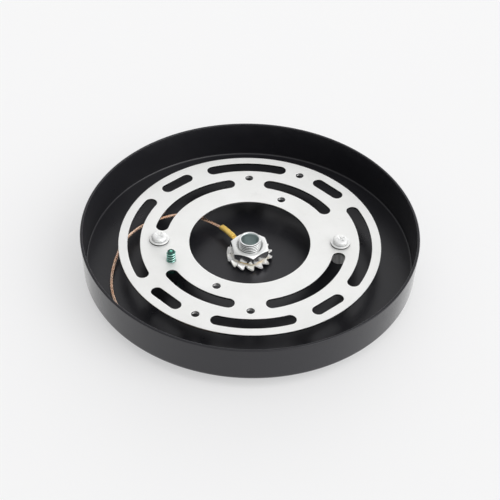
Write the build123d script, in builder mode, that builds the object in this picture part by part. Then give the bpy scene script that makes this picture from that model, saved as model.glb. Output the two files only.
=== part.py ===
"""Ceiling-light canopy lying open side up: a drawn steel pan that carries a slotted
universal mounting plate on two standoffs, a hollow threaded nipple with its nut and
toothed washer, and a bare copper ground lead.  Millimetres, +Z towards the ceiling,
Z = 0 on the lowest faces of the hardware under the pan, axis of the pan on X = Y = 0."""
from build123d import *
import os
from math import cos, sin, tan, radians, degrees, acos, hypot

os.makedirs("parts", exist_ok=True)

# ---------------------------------------------------------------- driving dimensions
FOOT = 4.8                  # hardware that shows under the pan
SHEET = 1.2                 # coated sheet of the pan
PAN_DEPTH = 18.7
RIM_R = 77.1                # outside, at the rim
BASE_R = 76.1               # outside, where the wall meets the bottom
CORNER_R = 2.0              # outside corner of the pan
RIM_ROUND = 0.4

PAN_BOTTOM = FOOT
FLOOR = PAN_BOTTOM + SHEET
RIM_Z = PAN_BOTTOM + PAN_DEPTH

PLATE_R = 60.0
PLATE_T = 1.0
PLATE_TOP = 15.65
PLATE_BOTTOM = PLATE_TOP - PLATE_T
PLATE_HOLE_R = 27.7
SLOT_W = 5.8
OUTER_SLOT_R, INNER_SLOT_R = 53.0, 41.4
OUTER_ARCS = ((93.0, 35.0), (179.2, 54.0))          # centre angle, angle between end centres
INNER_ARCS = ((56.1, 43.6), (136.6, 63.0))
SHORT_SLOTS = (47.0, 131.8)                         # centre angles, each with its opposite
SHORT_SLOT_L, SHORT_SLOT_W, SHORT_SLOT_R = 17.0, 5.5, 52.85
TAP_HOLES = ((44.98, 91.64), (53.07, 64.57), (33.08, 64.66))   # radius, angle, each with its opposite
TAP_R = 1.75                # tapped No 8-32, at the thread's crest
TAP_COLLAR_R = 2.7
TAP_COLLAR_H = 0.7

SCREW_R, SCREW_ANGLE = 41.4, 0.97                   # the two mounting screws
M4_R = 2.0
M4_FIT = 0.05               # thread drawn as a plain cylinder with this gap
M4_CLEAR_R = 2.2
STANDOFF_R = 3.8
STUD_END_Z = 1.4
BORE_BOTTOM_Z = 8.35
SCREW_LENGTH = 8.0
HEAD_R, HEAD_H = 3.5, 1.9
WASHER_R, WASHER_T = 4.5, 1.0
CAP_R, CAP_TOP = 5.0, 4.4
CAP_WASHER_R = 4.6

NIPPLE_R, NIPPLE_BORE_R = 5.0, 4.0                  # M10 x 1, hollow
NIPPLE_TOP, NIPPLE_BOTTOM = 17.2, 0.3
NIPPLE_FIT = 0.05
NUT_AF, NUT_BOTTOM, NUT_TOP = 16.0, 9.25, 13.7
NUT_CORNER_ANGLE = -78.5
STAR_Z, STAR_T = 7.25, 1.0                          # body of the toothed washer
STAR_BODY_R, STAR_TIP_R = 8.6, 10.5
TEETH, TOOTH_TWIST = 14, 38.0
TOOTH_START_ANGLE = 273.5
TERMINAL_Z, TERMINAL_T = 8.25, 1.0
TERMINAL_RING_R, TERMINAL_ANGLE = 7.4, 131.0
BARREL_Z, BARREL_START, BARREL_END = 10.25, 11.4, 20.5
COLLAR_R, COLLAR_TOP = 11.0, 4.2
COLLAR_WASHER_R = 10.0

GROUND_XY = (-35.2, -13.9)
GROUND_R = 2.08             # 4.2 mm thread-forming screw
GROUND_FIT = 0.04
GROUND_TIP_Z = PLATE_TOP + 5.3
GROUND_WASHER_R, GROUND_WASHER_T = 4.2, 0.9

WIRE_R = 0.7
WIRE_POINTS = [
    (-9.51, 10.94, 10.25), (-14.59, 16.78, 10.25), (-33.3, 24.5, 11.45), (-56.8, 10.2, 10.65),
    (-62.8, -12.6, 7.05), (-60.5, -32.75, 6.9), (-49.5, -49.0, 6.9), (-34.0, -60.2, 6.9),
    (-17.0, -66.0, 6.9),
]

SCREW_XY = {
    "right": (SCREW_R * cos(radians(SCREW_ANGLE)), SCREW_R * sin(radians(SCREW_ANGLE))),
    "left": (-SCREW_R * cos(radians(SCREW_ANGLE)), -SCREW_R * sin(radians(SCREW_ANGLE))),
}


def polar(r, angle):
    return (r * cos(radians(angle)), r * sin(radians(angle)))


def save(builder, name):
    builder.part.label = name
    export_step(builder.part, f"parts/{name}.step")


# ---------------------------------------------------------------- canopy pan
# One drawn sheet: flat bottom, tight corner, wall opening out by about 3.5 degrees.
wall_lean = (RIM_R - BASE_R) / PAN_DEPTH
inner_base_r = BASE_R - SHEET + wall_lean * SHEET
inner_rim_r = RIM_R - SHEET
with BuildPart() as canopy_pan:
    with BuildSketch(Plane.XZ):
        with BuildLine():
            Polyline(
                (NIPPLE_R + 0.2, PAN_BOTTOM), (BASE_R, PAN_BOTTOM), (RIM_R, RIM_Z), (inner_rim_r, RIM_Z),
                (inner_base_r, FLOOR), (NIPPLE_R + 0.2, FLOOR), close=True,
            )
        make_face()
    revolve(axis=Axis.Z)
    rings = canopy_pan.edges().filter_by(GeomType.CIRCLE)
    outer_corner = [e for e in rings if abs(e.center().Z - PAN_BOTTOM) < 0.01 and e.radius > 70]
    inner_corner = [e for e in rings if abs(e.center().Z - FLOOR) < 0.01 and e.radius > 70]
    rim_edges = [e for e in rings if abs(e.center().Z - RIM_Z) < 0.01]
    fillet(outer_corner, CORNER_R)
    fillet(inner_corner, CORNER_R - SHEET)
    fillet(rim_edges, RIM_ROUND)
    with Locations(*[(x, y, FLOOR) for x, y in SCREW_XY.values()]):
        Hole(M4_CLEAR_R, depth=SHEET)
save(canopy_pan, "canopy_pan")

# ---------------------------------------------------------------- mounting plate
with BuildPart() as mounting_plate:
    with BuildSketch(Plane.XY.offset(PLATE_BOTTOM)):
        Circle(PLATE_R)
        Circle(PLATE_HOLE_R, mode=Mode.SUBTRACT)
        for radius, arcs in ((OUTER_SLOT_R, OUTER_ARCS), (INNER_SLOT_R, INNER_ARCS)):
            for centre, span in arcs:
                for turn in (0, 180):
                    line = CenterArc((0, 0), radius, centre + turn - span / 2, span, mode=Mode.PRIVATE)
                    SlotArc(line, SLOT_W, mode=Mode.SUBTRACT)
        for centre in SHORT_SLOTS:
            for turn in (0, 180):
                with Locations(polar(SHORT_SLOT_R, centre + turn)):
                    SlotOverall(SHORT_SLOT_L, SHORT_SLOT_W, rotation=centre + turn + 90, mode=Mode.SUBTRACT)
        with Locations(*SCREW_XY.values()):
            Circle(M4_CLEAR_R, mode=Mode.SUBTRACT)
    extrude(amount=PLATE_T)
    # drawn collars under the tapped holes, so that a thin plate holds a whole thread
    with BuildSketch(Plane.XY.offset(PLATE_BOTTOM)):
        for radius, angle in TAP_HOLES:
            with Locations(polar(radius, angle), polar(radius, angle + 180)):
                Circle(TAP_COLLAR_R)
        with Locations(GROUND_XY):
            Circle(TAP_COLLAR_R + 0.3)
    extrude(amount=-TAP_COLLAR_H)
    with BuildSketch(Plane.XY.offset(PLATE_TOP)):
        for radius, angle in TAP_HOLES:
            with Locations(polar(radius, angle), polar(radius, angle + 180)):
                Circle(TAP_R)
        with Locations(GROUND_XY):
            Circle(GROUND_R + GROUND_FIT)
    extrude(amount=-(PLATE_T + TAP_COLLAR_H), mode=Mode.SUBTRACT)
save(mounting_plate, "mounting_plate")

# ---------------------------------------------------------------- standoffs and their screws
for side, (sx, sy) in SCREW_XY.items():
    # round pillar: tapped from above for the mounting screw, turned down to an M4 stud below
    with BuildPart() as standoff:
        with BuildSketch(Plane.XZ.offset(-sy)):
            with BuildLine():
                Polyline(
                    (sx, STUD_END_Z), (sx + M4_R - 0.35, STUD_END_Z), (sx + M4_R, STUD_END_Z + 0.35),
                    (sx + M4_R, FLOOR), (sx + STANDOFF_R - 0.25, FLOOR), (sx + STANDOFF_R, FLOOR + 0.25),
                    (sx + STANDOFF_R, PLATE_BOTTOM - 0.25), (sx + STANDOFF_R - 0.25, PLATE_BOTTOM),
                    (sx + M4_R + M4_FIT, PLATE_BOTTOM), (sx + M4_R + M4_FIT, BORE_BOTTOM_Z),
                    (sx, BORE_BOTTOM_Z - 0.9), close=True,
                )
            make_face()
        revolve(axis=Axis((sx, sy, 0), (0, 0, 1)))
    save(standoff, f"standoff_{side}")

    with BuildPart() as screw_washer:
        with BuildSketch(Plane.XY.offset(PLATE_TOP)):
            with Locations((sx, sy)):
                Circle(WASHER_R)
                Circle(M4_CLEAR_R, mode=Mode.SUBTRACT)
        extrude(amount=WASHER_T)
        chamfer(screw_washer.edges().group_by(Axis.Z)[-1].filter_by(lambda e: e.radius > 4), 0.15)
    save(screw_washer, f"screw_washer_{side}")

    head_z = PLATE_TOP + WASHER_T
    with BuildPart() as mounting_screw:
        with BuildSketch(Plane.XY.offset(head_z)):
            with Locations((sx, sy)):
                Circle(HEAD_R)
        extrude(amount=HEAD_H)
        fillet(mounting_screw.edges().group_by(Axis.Z)[-1], 1.2)
        with BuildSketch(Plane.XY.offset(head_z)):
            with Locations((sx, sy)):
                Circle(M4_R)
        extrude(amount=-SCREW_LENGTH)
        chamfer(mounting_screw.edges().group_by(Axis.Z)[0], 0.35)
        # cross recess
        with BuildSketch(Plane.XY.offset(head_z + HEAD_H)):
            with Locations((sx, sy)):
                Rectangle(3.9, 0.95, rotation=30 if side == "right" else 62)
                Rectangle(0.95, 3.9, rotation=30 if side == "right" else 62)
        extrude(amount=-1.3, mode=Mode.SUBTRACT)
    save(mounting_screw, f"mounting_screw_{side}")

    with BuildPart() as cap_nut_washer:
        with BuildSketch(Plane.XY.offset(CAP_TOP)):
            with Locations((sx, sy)):
                Circle(CAP_WASHER_R)
                Circle(M4_CLEAR_R, mode=Mode.SUBTRACT)
        extrude(amount=PAN_BOTTOM - CAP_TOP)
    save(cap_nut_washer, f"cap_nut_washer_{side}")

    # low domed nut with a blind thread, on the side that shows under the ceiling
    with BuildPart() as cap_nut:
        with BuildSketch(Plane.XZ.offset(-sy)):
            with BuildLine():
                face = Line((sx, 0), (sx + 2.8, 0))
                dome = ThreePointArc((sx + 2.8, 0), (sx + 4.35, 0.62), (sx + CAP_R, 1.9))
                side_line = Polyline(
                    (sx + CAP_R, 1.9), (sx + CAP_R, CAP_TOP - 0.4), (sx + CAP_R - 0.4, CAP_TOP),
                    (sx + M4_R + M4_FIT, CAP_TOP), (sx + M4_R + M4_FIT, 1.15), (sx, 1.15), (sx, 0),
                )
            make_face()
        revolve(axis=Axis((sx, sy, 0), (0, 0, 1)))
    save(cap_nut, f"cap_nut_{side}")

# ---------------------------------------------------------------- centre stack
with BuildPart() as nipple:
    with BuildSketch(Plane.XY.offset(NIPPLE_BOTTOM)):
        Circle(NIPPLE_R)
    extrude(amount=NIPPLE_TOP - NIPPLE_BOTTOM)
    chamfer(nipple.edges().filter_by(GeomType.CIRCLE), 0.35)
    with BuildSketch(Plane.XY.offset(NIPPLE_BOTTOM)):
        Circle(NIPPLE_BORE_R)
    extrude(amount=NIPPLE_TOP - NIPPLE_BOTTOM, mode=Mode.SUBTRACT)
    mouths = nipple.edges().filter_by(GeomType.CIRCLE).filter_by(lambda e: abs(e.radius - NIPPLE_BORE_R) < 0.01)
    chamfer(mouths, 0.25)
save(nipple, "nipple")

nut_corner_r = NUT_AF / 2 / cos(radians(30))
with BuildPart() as hex_nut:
    with BuildSketch(Plane.XY.offset(NUT_BOTTOM)):
        RegularPolygon(nut_corner_r, 6, rotation=NUT_CORNER_ANGLE)
        Circle(NIPPLE_R + NIPPLE_FIT, mode=Mode.SUBTRACT)
    extrude(amount=NUT_TOP - NUT_BOTTOM)
    # corners taken off by a 30 degree cone on top and a shallow one below
    drop = (nut_corner_r - NUT_AF / 2 + 0.05) * tan(radians(30))
    with BuildSketch(Plane.XZ):
        with BuildLine():
            Polyline(
                (0, NUT_BOTTOM), (NUT_AF / 2 + 0.3, NUT_BOTTOM), (nut_corner_r + 0.1, NUT_BOTTOM + 0.45),
                (nut_corner_r + 0.1, NUT_TOP - drop), (NUT_AF / 2 - 0.1, NUT_TOP), (0, NUT_TOP), close=True,
            )
        make_face()
    revolve(axis=Axis.Z, mode=Mode.INTERSECT)
    mouth = hex_nut.edges().group_by(Axis.Z)[-1].filter_by(GeomType.CIRCLE).sort_by(SortBy.RADIUS)[0]
    chamfer(mouth, 1.1)
save(hex_nut, "hex_nut")

with BuildPart() as star_washer:
    with BuildSketch(Plane.XY.offset(STAR_Z)):
        Circle(STAR_BODY_R)
        Circle(NIPPLE_R + 0.15, mode=Mode.SUBTRACT)
    extrude(amount=STAR_T)
    for i in range(TEETH):
        angle = TOOTH_START_ANGLE + i * 360 / TEETH
        out = (cos(radians(angle)), sin(radians(angle)), 0)
        along = (-sin(radians(angle)), cos(radians(angle)), 0)
        for r, width, thick, twist in ((STAR_BODY_R - 0.3, 2.8, STAR_T, 0),
                                       ((STAR_BODY_R + STAR_TIP_R) / 2, 3.5, 0.95, TOOTH_TWIST * 0.7),
                                       (STAR_TIP_R, 4.1, 0.9, TOOTH_TWIST)):
            place = Plane(origin=(out[0] * r, out[1] * r, STAR_Z + STAR_T / 2), x_dir=along, z_dir=out)
            with BuildSketch(place):
                Rectangle(width, thick, rotation=-twist)
        loft()
save(star_washer, "star_washer")

radial = (cos(radians(TERMINAL_ANGLE)), sin(radians(TERMINAL_ANGLE)), 0)
with BuildPart() as ring_terminal:
    with BuildSketch(Plane.XY.offset(TERMINAL_Z)):
        Circle(TERMINAL_RING_R)
        Circle(NIPPLE_R + 0.15, mode=Mode.SUBTRACT)
    extrude(amount=TERMINAL_T)
    # tongue: flat under the nut, then bent up over the toothed washer
    t = TERMINAL_T
    with BuildSketch(Plane(origin=(0, 0, 0), x_dir=radial, z_dir=(radial[1], -radial[0], 0))):
        with BuildLine():
            Polyline(
                (6.5, TERMINAL_Z), (8.5, TERMINAL_Z), (10.0, 9.75), (11.9, 9.75), (11.9, 10.6),
                (9.75, 10.6), (8.4, TERMINAL_Z + t), (6.5, TERMINAL_Z + t), close=True,
            )
        make_face()
    extrude(amount=1.2, both=True)
    # crimped barrel
    with BuildSketch(Plane(origin=(radial[0] * BARREL_START, radial[1] * BARREL_START, BARREL_Z),
                           x_dir=(-radial[1], radial[0], 0), z_dir=radial)):
        Ellipse(1.45, 1.15)
    extrude(amount=BARREL_END - BARREL_START)
    with BuildSketch(Plane(origin=(radial[0] * (BARREL_START + 1.2), radial[1] * (BARREL_START + 1.2), BARREL_Z),
                           x_dir=(-radial[1], radial[0], 0), z_dir=radial)):
        Circle(WIRE_R + 0.08)
    extrude(amount=BARREL_END - BARREL_START, mode=Mode.SUBTRACT)
save(ring_terminal, "ring_terminal")

with BuildPart() as collar_washer:
    with BuildSketch(Plane.XY.offset(COLLAR_TOP)):
        Circle(COLLAR_WASHER_R)
        Circle(NIPPLE_R + 0.2, mode=Mode.SUBTRACT)
    extrude(amount=PAN_BOTTOM - COLLAR_TOP)
save(collar_washer, "collar_washer")

with BuildPart() as stem_collar:
    with BuildSketch(Plane.XZ):
        with BuildLine():
            Polyline(
                (NIPPLE_R + NIPPLE_FIT + 0.5, 0), (9.0, 0), (9.6, 0.4), (COLLAR_R, 2.6), (COLLAR_R, COLLAR_TOP - 0.3),
                (COLLAR_R - 0.3, COLLAR_TOP), (NIPPLE_R + NIPPLE_FIT, COLLAR_TOP), (NIPPLE_R + NIPPLE_FIT, 0.5),
                close=True,
            )
        make_face()
    revolve(axis=Axis.Z)
save(stem_collar, "stem_collar")

# ---------------------------------------------------------------- ground screw, from below
gx, gy = GROUND_XY
washer_top = PLATE_BOTTOM - TAP_COLLAR_H
head_top = washer_top - GROUND_WASHER_T
with BuildPart() as ground_screw_washer:
    with BuildSketch(Plane.XY.offset(head_top)):
        with Locations(GROUND_XY):
            Circle(GROUND_WASHER_R)
            Circle(GROUND_R + 0.15, mode=Mode.SUBTRACT)
    extrude(amount=GROUND_WASHER_T)
save(ground_screw_washer, "ground_screw_washer")

with BuildPart() as ground_screw:
    with BuildSketch(Plane.XY.offset(head_top)):
        with Locations(GROUND_XY):
            Circle(4.0)
    extrude(amount=-0.8)
    with BuildSketch(Plane.XY.offset(head_top - 0.8)):
        with Locations(GROUND_XY):
            RegularPolygon(6.35 / 2 / cos(radians(30)), 6)
    extrude(amount=-2.3)
    with BuildSketch(Plane.XY.offset(head_top)):
        with Locations(GROUND_XY):
            Circle(GROUND_R)
    extrude(amount=GROUND_TIP_Z - head_top)
    chamfer(ground_screw.edges().group_by(Axis.Z)[-1], 0.5)
    with BuildSketch(Plane.XY.offset(head_top - 3.1)):
        with Locations(GROUND_XY):
            Rectangle(8, 1.1)
    extrude(amount=1.2, mode=Mode.SUBTRACT)
save(ground_screw, "ground_screw")

# ---------------------------------------------------------------- ground lead
# Straight runs joined by tangent arcs: the radius is set by the shorter run at each corner.
radii = []
for before, here, after in zip(WIRE_POINTS, WIRE_POINTS[1:], WIRE_POINTS[2:]):
    a = [p - q for p, q in zip(before, here)]
    b = [p - q for p, q in zip(after, here)]
    la, lb = (sum(v * v for v in a)) ** 0.5, (sum(v * v for v in b)) ** 0.5
    half_turn = (180 - degrees(acos(sum(p * q for p, q in zip(a, b)) / la / lb))) / 2
    radii.append(0.45 * min(la, lb) / tan(radians(half_turn)))
    print("wire run", round(la, 1), "turn", round(2 * half_turn, 1), "radius", round(radii[-1], 1))
with BuildPart() as ground_wire:
    with BuildLine() as wire_path:
        FilletPolyline(*WIRE_POINTS, radius=radii)
    with BuildSketch(Plane(origin=wire_path.line @ 0, z_dir=wire_path.line % 0)):
        Circle(WIRE_R)
    sweep(path=wire_path.line)
wire_length = wire_path.wire().length
print("wire length", round(wire_length, 1), "volume", round(ground_wire.part.volume, 1),
      "section x length", round(3.14159265 * WIRE_R ** 2 * wire_length, 1))
save(ground_wire, "ground_wire")
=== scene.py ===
import bpy
import bmesh
import math
import numpy as np
from mathutils import Matrix, Vector
from mathutils.geometry import delaunay_2d_cdt


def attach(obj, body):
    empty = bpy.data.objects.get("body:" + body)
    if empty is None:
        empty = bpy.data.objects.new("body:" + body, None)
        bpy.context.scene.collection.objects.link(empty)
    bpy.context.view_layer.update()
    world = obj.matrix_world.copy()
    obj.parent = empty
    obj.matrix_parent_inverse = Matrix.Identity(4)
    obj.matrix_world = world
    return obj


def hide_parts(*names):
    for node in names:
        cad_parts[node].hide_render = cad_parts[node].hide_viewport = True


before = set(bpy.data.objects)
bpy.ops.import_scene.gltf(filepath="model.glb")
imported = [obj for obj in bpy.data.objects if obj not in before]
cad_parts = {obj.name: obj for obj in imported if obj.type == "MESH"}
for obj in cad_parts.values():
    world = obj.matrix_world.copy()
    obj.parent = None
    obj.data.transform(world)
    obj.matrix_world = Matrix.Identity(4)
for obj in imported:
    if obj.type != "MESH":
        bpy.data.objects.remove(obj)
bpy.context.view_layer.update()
scene = bpy.context.scene
TAU = 2 * math.pi

# ------------------------------------------------------------------ dimensions, in millimetres
FOOT, SHEET, PAN_DEPTH = 4.8, 1.2, 18.7
RIM_R, BASE_R, CORNER_R = 77.1, 76.1, 2.0
PAN_BOTTOM, FLOOR, RIM_Z = 4.8, 6.0, 23.5
PLATE_R, PLATE_TOP, PLATE_BOTTOM, PLATE_HOLE_R = 60.0, 15.65, 14.65, 27.7
SLOT_W = 5.8
OUTER_SLOT_R, INNER_SLOT_R = 53.0, 41.4
OUTER_ARCS = ((93.0, 35.0), (179.2, 54.0))
INNER_ARCS = ((56.1, 43.6), (136.6, 63.0))
SHORT_SLOTS = (47.0, 131.8)
SHORT_SLOT_L, SHORT_SLOT_W, SHORT_SLOT_R = 17.0, 5.5, 52.85
TAP_HOLES = ((44.98, 91.64), (53.07, 64.57), (33.08, 64.66))
TAP_R, TAP_COLLAR_R, TAP_COLLAR_H = 1.75, 2.7, 0.7
SCREW_R, SCREW_ANGLE = 41.4, math.radians(0.97)
SCREW_XY = {
    "right": (SCREW_R * math.cos(SCREW_ANGLE), SCREW_R * math.sin(SCREW_ANGLE)),
    "left": (-SCREW_R * math.cos(SCREW_ANGLE), -SCREW_R * math.sin(SCREW_ANGLE)),
}
GROUND_XY = (-35.2, -13.9)
NUT_AF, NUT_BOTTOM, NUT_TOP, NUT_CORNER = 16.0, 9.25, 13.7, math.radians(-78.5)
STAR_Z, STAR_T, STAR_BODY_R, STAR_TIP_R, TOOTH_TWIST = 7.25, 1.0, 8.6, 10.5, 38.0
HEAD_R, HEAD_H, WASHER_T, SCREW_LENGTH = 3.5, 1.9, 1.0, 8.0
NIPPLE_TOP, GROUND_TIP_Z = 17.2, 20.95
TERMINAL_Z, TERMINAL_T, TERMINAL_RING_R = 8.25, 1.0, 7.4
TERMINAL_ANGLE = math.radians(131.0)
BARREL_Z, BARREL_START, BARREL_END = 10.25, 11.4, 20.5
WIRE_R = 0.7
WIRE_POINTS = [
    (-9.51, 10.94, 10.25), (-14.59, 16.78, 10.25), (-33.3, 24.5, 11.45), (-56.8, 10.2, 10.65),
    (-62.8, -12.6, 7.05), (-60.5, -32.75, 6.9), (-49.5, -49.0, 6.9), (-34.0, -60.2, 6.9),
    (-17.0, -66.0, 6.9),
]


# ------------------------------------------------------------------ camera
def make_camera():
    """The camera at the viewing angle that fits the ellipses of the rim and the plate."""
    e, roll, depth = 0.744044, 0.0312956, 0.753898
    right = np.array([1.0, 0.0, 0.0])
    up = np.array([0.0, math.sin(e), math.cos(e)])
    ahead = np.array([0.0, math.cos(e), -math.sin(e)])
    c, s = math.cos(roll), math.sin(roll)
    right, up = c * right + s * up, -s * right + c * up
    place = -(right * -0.00006 + up * 0.00422 + ahead * depth)
    place = place + np.array([0.0, 0.0, 0.01605])
    data = bpy.data.cameras.new("camera")
    data.sensor_width, data.lens = 36.0, 118.8
    data.clip_start, data.clip_end = 0.01, 20.0
    camera = bpy.data.objects.new("camera", data)
    camera.matrix_world = Matrix((
        (right[0], up[0], -ahead[0], place[0]),
        (right[1], up[1], -ahead[1], place[1]),
        (right[2], up[2], -ahead[2], place[2]),
        (0, 0, 0, 1),
    ))
    scene.collection.objects.link(camera)
    scene.camera = camera


make_camera()


# ------------------------------------------------------------------ mesh helpers
def grid_faces(nu, nv, wrap_u=True, wrap_v=True, base=0):
    faces = []
    for i in range(nu if wrap_u else nu - 1):
        a, b = base + i * nv, base + ((i + 1) % nu) * nv
        for j in range(nv if wrap_v else nv - 1):
            k = (j + 1) % nv
            faces.append((a + j, b + j, b + k, a + k))
    return faces


def raw_object(name, verts, faces, weld=1.5e-6):
    """A closed mesh from millimetres, with doubled points welded and its normals outward."""
    mesh = bpy.data.meshes.new(name)
    mesh.from_pydata((np.asarray(verts, float) / 1000).tolist(), [], faces)
    bm = bmesh.new()
    bm.from_mesh(mesh)
    bmesh.ops.remove_doubles(bm, verts=bm.verts, dist=weld)
    bmesh.ops.dissolve_degenerate(bm, edges=bm.edges, dist=2e-7)
    loose = [v for v in bm.verts if not v.link_faces]
    if loose:
        bmesh.ops.delete(bm, geom=loose, context="VERTS")
    bmesh.ops.recalc_face_normals(bm, faces=bm.faces)
    bm.to_mesh(mesh)
    bm.free()
    obj = bpy.data.objects.new(name, mesh)
    scene.collection.objects.link(obj)
    return obj


def combine(obj, others, operation):
    """obj with the others cut out of it or joined to it, as one closed mesh."""
    for other in others:
        m = obj.modifiers.new("combine", "BOOLEAN")
        m.operation, m.object, m.solver = operation, other, "EXACT"
    graph = bpy.context.evaluated_depsgraph_get()
    mesh = bpy.data.meshes.new_from_object(obj.evaluated_get(graph))
    obj.modifiers.clear()
    obj.data = mesh
    for other in others:
        bpy.data.objects.remove(other)
    bm = bmesh.new()
    bm.from_mesh(mesh)
    bmesh.ops.remove_doubles(bm, verts=bm.verts, dist=1e-6)
    bmesh.ops.dissolve_degenerate(bm, edges=bm.edges, dist=2e-7)
    bmesh.ops.recalc_face_normals(bm, faces=bm.faces)
    bm.to_mesh(mesh)
    bm.free()
    return obj


def piece(obj, body, node, material, sharp=30):
    """Shades, paints and places a finished piece: it rides on a body and stands for a CAD node."""
    mesh = obj.data
    mesh.shade_smooth()
    mesh.set_sharp_from_angle(angle=math.radians(sharp))
    mesh.materials.clear()
    mesh.materials.append(material)
    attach(obj, body)
    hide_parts(*([node] if isinstance(node, str) else node))
    return obj


def polar(profile, n, centre=(0, 0), start=0.0):
    """Points and faces of a solid given by a closed (r, z) outline at each of n angles."""
    angles = start + np.arange(n) * TAU / n
    outlines = np.array([profile(a) for a in angles], float)
    k = outlines.shape[1]
    x = centre[0] + outlines[:, :, 0] * np.cos(angles)[:, None]
    y = centre[1] + outlines[:, :, 0] * np.sin(angles)[:, None]
    verts = np.stack([x, y, outlines[:, :, 1]], axis=2).reshape(-1, 3)
    return verts, grid_faces(n, k)


def lathe(name, outline, n=96, centre=(0, 0)):
    verts, faces = polar(lambda a: outline, n, centre)
    return raw_object(name, verts, faces)


def bend(r, z, radius, start, end, steps=6):
    """Points of an arc in an outline: centre (r, z), angles in degrees from +r towards +z."""
    a = np.radians(np.linspace(start, end, steps))
    return [(r + radius * math.cos(t), z + radius * math.sin(t)) for t in a]


def run(a, b, steps):
    """Evenly spaced points from a to b, both ends included."""
    t = np.linspace(0, 1, steps)[:, None]
    return (np.array(a) * (1 - t) + np.array(b) * t).tolist()


def crest(z, angle, pitch, flat=0.11, root=0.74):
    """Height of a right-hand thread, 0 at the root and 1 at the crest."""
    u = (z / pitch - angle / TAU) % 1.0
    d = abs(u - 0.5) * 2
    t = min(1.0, max(0.0, (root - d) / (root - flat)))
    return t * t * (3 - 2 * t) * 0.35 + t * 0.65


def thread_rows(z_from, z_to, pitch, per_pitch):
    n = max(2, int(abs(z_to - z_from) / pitch * per_pitch) + 1)
    return np.linspace(z_from, z_to, n)


def inside(points, loops):
    """True where a point is in the material between the outlines, by the even-odd rule."""
    odd = np.zeros(len(points), bool)
    x, y = points[:, 0][:, None], points[:, 1][:, None]
    for loop in loops:
        a, b = loop, np.roll(loop, -1, axis=0)
        ax, ay, bx, by = a[:, 0][None], a[:, 1][None], b[:, 0][None], b[:, 1][None]
        crosses = (ay > y) != (by > y)
        safe = np.where(by == ay, 1.0, by - ay)
        at = ax + (y - ay) * (bx - ax) / safe
        odd ^= (crosses & (x < at)).sum(axis=1) % 2 == 1
    return odd


def fill(loops):
    """Triangles between flat outlines."""
    points, edges = [], []
    for loop in loops:
        base, n = len(points), len(loop)
        points += [Vector((float(p[0]), float(p[1]))) for p in loop]
        edges += [(base + i, base + (i + 1) % n) for i in range(n)]
    out, _, faces, *_ = delaunay_2d_cdt(points, edges, [], 1, 1e-7)
    out = np.array([(p.x, p.y) for p in out])
    faces = [f for f in faces if len(f) == 3]
    centres = np.array([out[list(f)].mean(axis=0) for f in faces])
    keep = inside(centres, [np.asarray(l, float) for l in loops])
    return out, [f for f, k in zip(faces, keep) if k]


def sheet(name, top_z, bottom_z, columns):
    """A flat sheet with shaped edges. Each column is the rows of points (row, point, xyz) that
    lead from the top face over one edge to the bottom face; the first column is the outside."""
    verts, faces = [], []
    for rows in columns:
        rows = np.asarray(rows, float)
        faces += grid_faces(rows.shape[0], rows.shape[1], wrap_u=False, base=len(verts))
        verts += rows.reshape(-1, 3).tolist()
    for z, index in ((top_z, 0), (bottom_z, -1)):
        found, triangles = fill([np.asarray(rows)[index][:, :2] for rows in columns])
        base = len(verts)
        verts += [(x, y, z) for x, y in found]
        faces += [tuple(base + i for i in t) for t in triangles]
    return raw_object(name, verts, faces)


def at_height(loop, z):
    return np.column_stack([loop, np.full(len(loop), z)])


def circle(x, y, r, n):
    a = np.arange(n) * TAU / n
    return np.column_stack([x + r * np.cos(a), y + r * np.sin(a)])


def edge_column(outline, top, bottom, top_round, bottom_round, steps=4, margin=0.25):
    """Rows over a stamped edge. outline(g) is the edge moved by g into the material."""
    rows = [at_height(outline(top_round + margin), top)]
    for t in np.linspace(0, math.pi / 2, steps):
        rows.append(at_height(outline(top_round * (1 - math.sin(t))), top - top_round * (1 - math.cos(t))))
    for t in np.linspace(math.pi / 2, 0, steps):
        rows.append(at_height(outline(bottom_round * (1 - math.sin(t))), bottom + bottom_round * (1 - math.cos(t))))
    rows.append(at_height(outline(bottom_round + margin), bottom))
    return rows


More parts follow.
